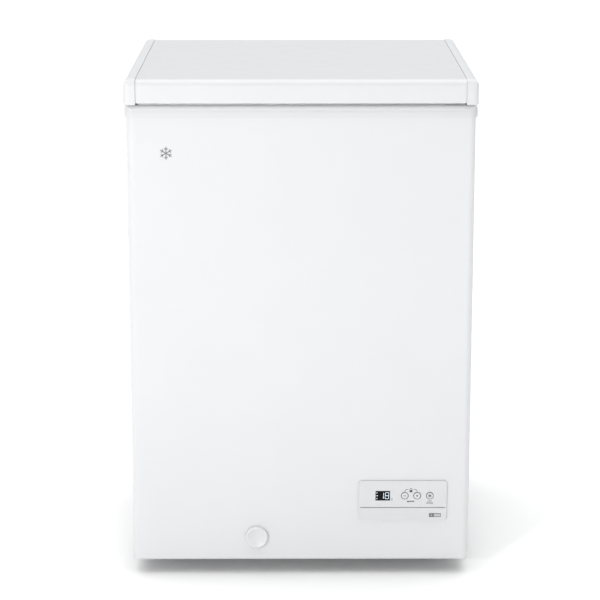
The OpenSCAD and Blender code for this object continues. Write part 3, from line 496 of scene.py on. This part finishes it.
def digit(shape, x, z, w, h, lit_bars, lean):
    """Seven-bar digit whose lower left corner is at x, z. lit_bars names the bars as clocks do, a to g."""
    m = z + h / 2
    bars = {
        "a": (x, z + h, x + w, z + h), "b": (x + w, m, x + w, z + h), "c": (x + w, z, x + w, m),
        "d": (x, z, x + w, z), "e": (x, z, x, m), "f": (x, m, x, z + h), "g": (x, m, x + w, m),
    }
    for name in lit_bars:
        outline = segment(*bars[name], bar_w)
        shape.plate([(px + lean * (pz - z), pz) for px, pz in outline], window_lo.y, print_t)


bar_w = 0.62
digit_h = 10.8
digit_lean = 0.07
digit_z = window_lo.z + 3.0
digits = Shape()
for digit_x, digit_w, lit_bars in ((7.4, 5.6, "bc"), (15.9, 5.9, "abcdefg")):
    digit(digits, window_lo.x + digit_x, digit_z, digit_w, digit_h, lit_bars, digit_lean)
piece("display_digits", digits, lit, "cabinet")

state_x = window_lo.x + 1.6
state_half_h = 0.55
state_top = window_hi.z - 3.4
state_pitch = 5.0
states = Shape()
for k, wide in enumerate((1.4, 2.3, 1.4)):
    z = state_top - state_pitch * k
    outline = round_corners((state_x, z - state_half_h), (state_x + wide, z + state_half_h), 0.3, 3)
    states.plate(outline, window_lo.y, print_t)
piece("display_state_marks", states, lit, "cabinet")


def bar(shape, x0, x1, z, width, y=face_y):
    """Printed bar with round ends."""
    shape.plate(round_corners((x0, z - width / 2), (x1, z + width / 2), width * 0.49, 4), y, print_t)


# Flat ring: the printed degree mark, and the painted shade at the rim of each button
def print_and_shade_ring(shape, centre, inner_r, outer_r, y, sides):
    """Flat ring round a centre of the plane."""
    last = 360 - 360 / sides
    rings = []
    for r, t in ((outer_r, 0), (outer_r, print_t), (inner_r, print_t), (inner_r, 0)):
        rings.append([(x, y - t, z) for x, z in arc(centre, r, 0, last, sides - 1)])
    shape.rings(rings, closed=True)


line_w = 0.8
thin_line_w = 0.5
marks = Shape()

# Degree mark beside the window: a ring over an open one
degree = (window_hi.x + 3.2, window_lo.z + 3.6)
unit = (degree[0] + 0.4, degree[1] - 2.6)
unit_r = 1.1
print_and_shade_ring(marks, degree, 0.5, 0.95, face_y, 12)
marks.plate(stroke(arc(unit, unit_r, 60, 300, 10), thin_line_w), face_y, print_t)

# Padlock, and the arcs that join it to the two temperature buttons
lock_x = (minus_x + plus_x) / 2
lock_z = button_z + 7.6
lock_half_w = 2.4
shackle_r = 1.6
shackle_foot, shackle_mid = lock_z + 2.0, lock_z + 3.6
arc_z = button_z + button_r + 1.0
arc_r = 3.6
arc_gap = 4.2
for side in (-1, 1):
    start_x = lock_x + side * (plus_x - lock_x)
    quarter = arc((start_x - side * arc_r, arc_z), arc_r, 0 if side > 0 else 180, 90, 7)
    marks.plate(stroke([*quarter, (lock_x + side * arc_gap, arc_z + arc_r)], line_w), face_y, print_t)
lock_case = round_corners((lock_x - lock_half_w, lock_z - 1.4), (lock_x + lock_half_w, lock_z + 2.2), 0.5, 3)
marks.plate(lock_case, face_y, print_t)
shackle = [
    (lock_x + shackle_r, shackle_foot),
    *arc((lock_x, shackle_mid), shackle_r, 0, 180, 10),
    (lock_x - shackle_r, shackle_foot),
]
marks.plate(stroke(shackle, line_w), face_y, print_t)

# Thermometer under the temperature buttons: tube, bulb and scale
thermo_z = button_z - button_r - 4.0
bulb_x = lock_x - 5.0
bulb_r = 1.5
tube_end, tube_w = lock_x + 6.0, 1.3
first_tick, tick_pitch = lock_x - 1.6, 1.7
tick_w, tick_h = 0.55, 1.0
bar(marks, bulb_x, tube_end, thermo_z, tube_w)
marks.plate(arc((bulb_x, thermo_z), bulb_r, 0, 345, 23), face_y, print_t)
for k in range(5):
    x = first_tick + tick_pitch * k
    bar(marks, x, x + tick_w, thermo_z + 1.7, tick_h)

# Chevrons over a line under the fast-freeze button
chevron_z = button_z - button_r - 3.4
chevron_w, chevron_half_h = 1.2, 1.3
first_chevron, chevron_pitch = freeze_x - 3.2, 2.4
underline_z = button_z - button_r - 6.8
underline_half, underline_w = 6.0, 1.2
for k in range(3):
    x = first_chevron + chevron_pitch * k
    tip = (x + chevron_w, chevron_z)
    chevron = [(x, chevron_z - chevron_half_h), tip, (x, chevron_z + chevron_half_h)]
    marks.plate(stroke(chevron, line_w), face_y, print_t)
bar(marks, freeze_x - underline_half, freeze_x + underline_half, underline_z, underline_w)
piece("panel_printed_marks", marks, ink, "cabinet")


def flake(shape, x, z, arm, width, y):
    """Snowflake of six arms, each with a pair of short twigs."""
    knee_share, twig_share = 0.55, 0.36
    twig_lean = 50
    twig_w = width * 0.8
    for k in range(6):
        a = math.radians(30 + 60 * k)
        tip = (x + arm * math.cos(a), z + arm * math.sin(a))
        shape.plate(stroke([(x + 0.05 * math.cos(a), z + 0.05 * math.sin(a)), tip], width), y, print_t)
        knee = (x + knee_share * arm * math.cos(a), z + knee_share * arm * math.sin(a))
        for lean in (-twig_lean, twig_lean):
            b = a + math.radians(lean)
            end = (knee[0] + twig_share * arm * math.cos(b), knee[1] + twig_share * arm * math.sin(b))
            shape.plate(stroke([knee, end], twig_w), y, print_t)


def button_print_and_rim_shade(name, body, x, y):
    """Print and painted shade on a button's face: a dark ring at its rim that stands for the shade of the gap
    round the button, and the printed sign.
    """
    rim_print_and_shade_inner_r, rim_print_and_shade_outer_r = 5.2, 6.1
    flake_arm, flake_w = 3.1, 0.7
    sign_half, sign_w = 2.3, 1.0
    shape = Shape()
    # The dark ring at the rim is painted shade of the gap round the button, drawn in the dark ink
    print_and_shade_ring(shape, (x, button_z), rim_print_and_shade_inner_r, rim_print_and_shade_outer_r, y, 48)
    if name == "fast_freeze":
        flake(shape, x, button_z, flake_arm, flake_w, y)
    else:
        bar(shape, x - sign_half, x + sign_half, button_z, sign_w, y)
    if name == "plus":
        lo = (x - sign_w / 2, button_z - sign_half)
        hi = (x + sign_w / 2, button_z + sign_half)
        shape.plate(round_corners(lo, hi, 0.48, 4), y, print_t)
    piece(f"{name}_button_print_and_rim_shade", shape, ink, body)


button_print_and_rim_shade("minus", "minus_key", minus_x, minus_lo.y)
button_print_and_rim_shade("plus", "plus_key", plus_x, plus_lo.y)
button_print_and_rim_shade("fast_freeze", "fast_freeze_key", freeze_x, freeze_lo.y)

# Pale half of the sticker, and a dot on its dark half
sticker_lo, sticker_hi = in_mm("panel_sticker")
sticker_mid_z = (sticker_lo.z + sticker_hi.z) / 2
dot_x, dot_r = sticker_lo.x + 4.2, 1.3
pale_lo = (sticker_lo.x + 8.2, sticker_lo.z + 1.0)
pale_hi = (sticker_hi.x - 0.8, sticker_hi.z - 1.0)
sticker = Shape()
sticker.plate(round_corners(pale_lo, pale_hi, 0.3, 2), sticker_lo.y, print_t)
sticker.plate(arc((dot_x, sticker_mid_z), dot_r, 0, 340, 17), sticker_lo.y, print_t)
piece("panel_sticker_print", sticker, pale_film, "cabinet")


# ---- Drain cap ----

cap_lo, cap_hi = in_mm("drain_cap")
cap_x = (cap_lo.x + cap_hi.x) / 2
cap_z = (cap_lo.z + cap_hi.z) / 2
panel_y = in_mm("front_panel")[0].y
cap_r = (cap_hi.x - cap_lo.x) / 2
cap_h = panel_y - cap_lo.y
rim_r = 2.6
spigot_r = 7.6
spigot_lead = 1.2
spigot_tip = -(cap_hi.y - panel_y)
back_gap = 0.25
back_bevel = 0.4
dish_r = cap_r - rim_r * 1.4
dish_h = 4.2
dish_top = cap_h - 0.15
dish_power = 0.7
dish_steps = 12
# Spigot, then the cap's back, its round rim and its dished face
cap_profile = [
    (0, spigot_tip), (spigot_r - spigot_lead, spigot_tip), (spigot_r, spigot_tip + spigot_lead),
    (spigot_r, back_gap), (cap_r - back_bevel, back_gap), (cap_r, 0.6),
]
cap_profile += arc((cap_r - rim_r, cap_h - rim_r), rim_r, 0, 110, 10)
for k in range(1, dish_steps):
    depth = dish_h * math.sin(math.pi / 2 * k / dish_steps) ** dish_power
    cap_profile.append((dish_r * (1 - k / dish_steps), dish_top - depth))
cap_profile.append((0, dish_top - dish_h))
cap = Shape()
cap.lathe(cap_profile, facing_front(cap_x, panel_y, cap_z), 96)
piece("drain_cap_moulded", cap, looks["drain_cap_plastic"].material, "drain_cap_body",
      ["drain_cap"], 60)


# ---- Lid gasket ----

gasket_lo, gasket_hi = in_mm("lid_gasket")
gasket_w = 12
# The gasket's section: across from its inner edge, and down from the lid
gasket_section = [
    (0.4, 0), (11.6, 0),
    # Outer folds
    (12, -0.5), (11.1, -0.95), (11.9, -1.4), (11.1, -1.9), (12, -2.5), (11.7, -3.3),
    # Sealing face with its shallow channel
    (10.9, -3.8), (7.2, -3.8), (6.6, -3.4), (5.4, -3.4), (4.8, -3.8), (1.1, -3.8),
    # Inner folds
    (0.3, -3.3), (0, -2.5), (0.9, -1.9), (0.1, -1.4), (0.9, -0.95), (0, -0.5),
]
gasket_x = (gasket_lo.x + gasket_w, gasket_hi.x - gasket_w)
gasket_y = (gasket_lo.y + gasket_w, gasket_hi.y - gasket_w)
# One ring for each mitred corner, anticlockwise from the right of the front
gasket_rings = []
for side_x, side_y in ((1, -1), (1, 1), (-1, 1), (-1, -1)):
    x, y = gasket_x[side_x > 0], gasket_y[side_y > 0]
    gasket_rings.append([(x + side_x * u, y + side_y * u, gasket_hi.z + v) for u, v in gasket_section])
gasket = Shape()
gasket.rings(gasket_rings, closed=True)
piece("lid_gasket_bellows", gasket, looks["gasket_vinyl"].material, "lid", ["lid_gasket"], 50)


# ---- Wire basket ----

basket_lo, _ = in_mm("basket_floor")
_, basket_hi = in_mm("basket_side_walls")
thin_r = 1.3
rim_wire_r = 2.1
wall_weld, floor_weld = 1.0, 0.3
wire_sides = 10
corner_r = 12
bottom_bend = 9
# The upright wires stand inside the level ones, and each goes on across the floor to the other wall
upright_inset = 3 * thin_r - wall_weld
inner_x, inner_y = basket_lo.x + upright_inset, basket_lo.y + upright_inset
outer_x, outer_y = basket_hi.x - upright_inset, basket_hi.y - upright_inset
floor_z = basket_lo.z + thin_r
crossed_z = floor_z + 2 * thin_r - floor_weld
rim_z = basket_hi.z - rim_wire_r
wires = Shape()
cross_count = 16
for k in range(1, cross_count):
    y = inner_y + (outer_y - inner_y) * k / cross_count
    path = [(inner_x, y, rim_z), (inner_x, y, floor_z), (outer_x, y, floor_z), (outer_x, y, rim_z)]
    wires.tube(rounded_path(path, bottom_bend), thin_r, wire_sides)
long_count = 8
for k in range(1, long_count):
    x = inner_x + (outer_x - inner_x) * k / long_count
    path = [(x, inner_y, rim_z), (x, inner_y, crossed_z), (x, outer_y, crossed_z), (x, outer_y, rim_z)]
    wires.tube(rounded_path(path, bottom_bend), thin_r, wire_sides)


def basket_ring(z, r, sides, corner_steps):
    """Level wire round the outside of the basket."""
    low = (basket_lo.x + r, basket_lo.y + r)
    high = (basket_hi.x - r, basket_hi.y - r)
    ring = [(x, y, z) for x, y in round_corners(low, high, corner_r, corner_steps)]
    wires.tube(ring, r, sides, closed=True)


ring_count = 5
lowest_ring = 14
for k in range(ring_count):
    ring_z = floor_z + lowest_ring + (rim_z - floor_z - lowest_ring) * k / ring_count
    basket_ring(ring_z, thin_r, wire_sides, 6)
basket_ring(rim_z, rim_wire_r, 14, 8)
piece("basket_round_wires", wires, looks["basket_coating"].material, "basket",
      ["basket_floor", "basket_side_walls", "basket_end_walls"], 50)

hook_lo, hook_hi = in_mm("basket_hooks")
hook_r = 2.0
wall_inset = 1.5
hook_foot = 5
hook_bend = 3.5
x0, x1 = hook_lo.x + hook_r, hook_hi.x - hook_r
z0, z1 = basket_hi.z - hook_foot, hook_hi.z - hook_r
hooks = Shape()
for wall_y, bar_y in (
    (basket_lo.y + wall_inset, hook_lo.y + hook_r),
    (basket_hi.y - wall_inset, hook_hi.y - hook_r),
):
    path = [
        (x0, wall_y, z0), (x0, wall_y, z1), (x0, bar_y, z1),
        (x1, bar_y, z1), (x1, wall_y, z1), (x1, wall_y, z0),
    ]
    hooks.tube(rounded_path(path, hook_bend), hook_r, 14)
piece("basket_hook_wires", hooks, looks["basket_coating"].material, "basket",
      ["basket_hooks"], 50)


# ---- Hinge springs ----

spring_wire_r = 1.0
free_turns = 9.5
flat_turns = 1.0
turns = free_turns + 2 * flat_turns
flat_rise = 2 * spring_wire_r * 1.02
steps_per_turn = 28
for side in ("left", "right"):
    lo, hi = in_mm(f"hinge_spring_{side}")
    middle = ((lo.x + hi.x) / 2, (lo.y + hi.y) / 2)
    coil_r = (hi.x - lo.x) / 2 - spring_wire_r
    bottom, top = lo.z + spring_wire_r, hi.z - spring_wire_r
    path = []
    for k in range(int(turns * steps_per_turn) + 1):
        t = k / steps_per_turn
        if t < flat_turns:
            z = bottom + flat_rise * t
        elif t > turns - flat_turns:
            z = top - flat_rise * (turns - t)
        else:
            share = (t - flat_turns) / free_turns
            z = bottom + flat_rise + (top - bottom - 2 * flat_rise) * share
        a = 2 * math.pi * t
        path.append((middle[0] + coil_r * math.cos(a), middle[1] + coil_r * math.sin(a), z))
    coil = Shape()
    coil.tube(path, spring_wire_r, 10)
    spring = piece(f"hinge_spring_coil_{side}", coil, looks["spring_steel"].material, None,
                   [f"hinge_spring_{side}"], 50)
    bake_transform(spring)


# ---- Screws ----

def cross_outline(arm, half, pieces=3):
    """Cross of four arms with each side cut into pieces, round the origin of the plane."""
    corners = []
    for k in range(4):
        a = math.radians(90 * k)
        for u, v in ((arm, -half), (arm, half), (half, half)):
            corners.append((u * math.cos(a) - v * math.sin(a), u * math.sin(a) + v * math.cos(a)))
    outline = []
    for i, (u, v) in enumerate(corners):
        end_u, end_v = corners[(i + 1) % len(corners)]
        outline += [(u + (end_u - u) * k / pieces, v + (end_v - v) * k / pieces) for k in range(pieces)]
    return outline


def screw(shape, place, length):
    """Pan-head screw with a cross recess and a thread. The place's z axis goes up from its seat."""
    head_r, head_h = 4.0, 2.2
    shank_r, root_r, tip_r = 1.9, 1.9 * 0.78, 0.15
    recess_arm, recess_half_w = 2.3, 0.45
    cross = cross_outline(recess_arm, recess_half_w)
    angles = [math.atan2(v, u) for u, v in cross]
    # The recess narrows towards its bottom
    rings = []
    for scale_u, scale_v, depth in ((0.35, 0.35, 1.5), (0.8, 0.9, 0.9), (1, 1, 0.05)):
        rings.append([(u * scale_u, v * scale_v, head_h - depth) for u, v in cross])
    profile = [
        (head_r * 0.72, head_h - 0.12), (head_r * 0.9, head_h - 0.5), (head_r * 0.98, head_h - 1.0),
        (head_r, 0.35), (head_r - 0.15, 0), (shank_r, 0),
    ]
    pitch = 1.3
    plain_shank = 1
    point = 2
    for k in range(int((length - plain_shank - point) / pitch)):
        height = -plain_shank - pitch * k
        profile += [(root_r, height), (shank_r, height - pitch / 2)]
    profile += [(root_r, -length + point), (tip_r, -length)]
    rings += [[(r * math.cos(a), r * math.sin(a), h) for a in angles] for r, h in profile]
    rings = [[place @ Vector(p) for p in ring] for ring in rings]
    shape.rings([ring[::-1] for ring in rings])


bracket_lo, bracket_hi = in_mm("hinge_bracket_left")
cover_lo, cover_hi = in_mm("rear_cover")
hinge_x = -(bracket_lo.x + bracket_hi.x) / 2
web_t = 2.0
bracket_screw_x = 22
bracket_screw_z = (bracket_lo.z + 15, 770)
cover_screw_x = (cover_lo.x + 5, 265)
cover_screw_z = (45, 140, 237)
rear_screw_l = 13
rear = Shape()
for side in (-1, 1):
    for dx in (-bracket_screw_x, bracket_screw_x):
        for z in bracket_screw_z:
            screw(rear, facing_back(side * hinge_x + dx, bracket_lo.y + web_t, z), rear_screw_l)
for x in cover_screw_x:
    for z in cover_screw_z:
        screw(rear, facing_back(x, cover_hi.y, z), rear_screw_l)
piece("rear_cross_screws", rear, looks["fastener_steel"].material, "cabinet",
      ["rear_screws"], 30)

lid_bottom = in_mm("lid_panel")[0].z
leaf_face = 270
leaf_screw_x = 18
leaf_screw_z = (lid_bottom + 12, lid_bottom + 27)
leaf_screw_l = 10
leaf_screws = Shape()
for side in (-1, 1):
    for dx in (-leaf_screw_x, leaf_screw_x):
        for z in leaf_screw_z:
            screw(leaf_screws, facing_back(side * hinge_x + dx, leaf_face, z), leaf_screw_l)
piece("hinge_leaf_cross_screws", leaf_screws, looks["fastener_steel"].material, "lid",
      ["hinge_leaf_screws"], 30)


# ---- Floor, lights and camera ----

def area_light(name, spot, target, size, power):
    """White square light of the given side at spot that faces target."""
    data = bpy.data.lights.new(name, "AREA")
    data.size = size
    data.energy = power
    obj = bpy.data.objects.new(name, data)
    obj.location = spot
    obj.rotation_euler = (Vector(target) - Vector(spot)).to_track_quat("-Z", "Y").to_euler()
    scene.collection.objects.link(obj)


floor_reach = 60000
floor_t = 20
floor_corners = [(sx * floor_reach, sy * floor_reach) for sx, sy in ((-1, -1), (1, -1), (1, 1), (-1, 1))]
floor_shape = Shape()
floor_shape.rings([[(x, y, z) for x, y in floor_corners] for z in (-floor_t, 0)])
floor_look = Look("pale_floor", (0.97, 0.97, 0.97), 0.8)
floor_look.shader.inputs["Specular IOR Level"].default_value = 0
floor_look.tint(floor_look.noise(3, 3), (0.955, 0.955, 0.955), 0.5)
floor_look.relief(floor_look.noise(120, 2), 0.0001)
floor_mesh = bpy.data.meshes.new("floor")
floor_mesh.from_pydata([Vector(p) * MM for p in floor_shape.points], [], floor_shape.faces)
floor_mesh.materials.append(floor_look.material)
floor = bpy.data.objects.new("floor", floor_mesh)
scene.collection.objects.link(floor)

# The studio's light comes mostly from overhead. The wall behind the freezer and the horizon are pale.
OVERHEAD_LEVEL, OVERHEAD_POWER = 2.45, 3.0
WALL_LEVEL = 0.68
BAND_LEVEL, BAND_STEEPNESS = 0.75, 5.0
LEAST_LEVEL = 0.04
world = bpy.data.worlds.new("studio")
world.use_nodes = True
sky = world.node_tree


def sky_math(operation, a, b):
    """Result of one sum on the sky's values. Each of a and b is a socket or a number."""
    node = sky.nodes.new("ShaderNodeMath")
    node.operation = operation
    for socket, value in zip(node.inputs, (a, b)):
        if isinstance(value, float):
            socket.default_value = value
        else:
            sky.links.new(value, socket)
    return node.outputs["Value"]


direction = sky.nodes.new("ShaderNodeSeparateXYZ")
sky.links.new(sky.nodes.new("ShaderNodeTexCoord").outputs["Generated"], direction.inputs["Vector"])
upwards = sky_math("MAXIMUM", direction.outputs["Z"], 0.0)
backwards = sky_math("MAXIMUM", direction.outputs["Y"], 0.0)
overhead = sky_math("MULTIPLY", sky_math("POWER", upwards, OVERHEAD_POWER), OVERHEAD_LEVEL)
back_wall = sky_math("MULTIPLY", backwards, WALL_LEVEL)
squared_height = sky_math("POWER", sky_math("MULTIPLY", upwards, BAND_STEEPNESS), 2.0)
low_band = sky_math("MAXIMUM", sky_math("SUBTRACT", 1.0, squared_height), 0.0)
horizon = sky_math("MULTIPLY", low_band, BAND_LEVEL)
pale = sky_math("MAXIMUM", back_wall, horizon)
sky_level = sky_math("ADD", sky_math("ADD", overhead, pale), LEAST_LEVEL)
sky.links.new(sky_level, sky.nodes["Background"].inputs["Strength"])
sky.nodes["Background"].inputs["Color"].default_value = (1, 1, 1, 1)
scene.world = world

front_face_y = -0.28
area_light("key", (-1.35, -2.8, 0.95), (0, front_face_y, 0.25), 0.2, 28)
area_light("softbox_right", (1.3, -1.6, 0.2), (0, front_face_y, 0.42), 0.9, 1.6)
scene.view_settings.view_transform = "Standard"

# The camera stands higher than the freezer and a touch left of its middle, and looks down at it
PITCH_DOWN = 13.627
TURN_RIGHT = 0.237
camera_data = bpy.data.cameras.new("camera")
camera_data.sensor_width = 36
camera_data.lens = 130.62
camera = bpy.data.objects.new("camera", camera_data)
camera.location = (-0.0161, -3.7651, 1.3244)
camera.rotation_euler = (math.radians(90 - PITCH_DOWN), 0, math.radians(-TURN_RIGHT))
scene.collection.objects.link(camera)
scene.camera = camera
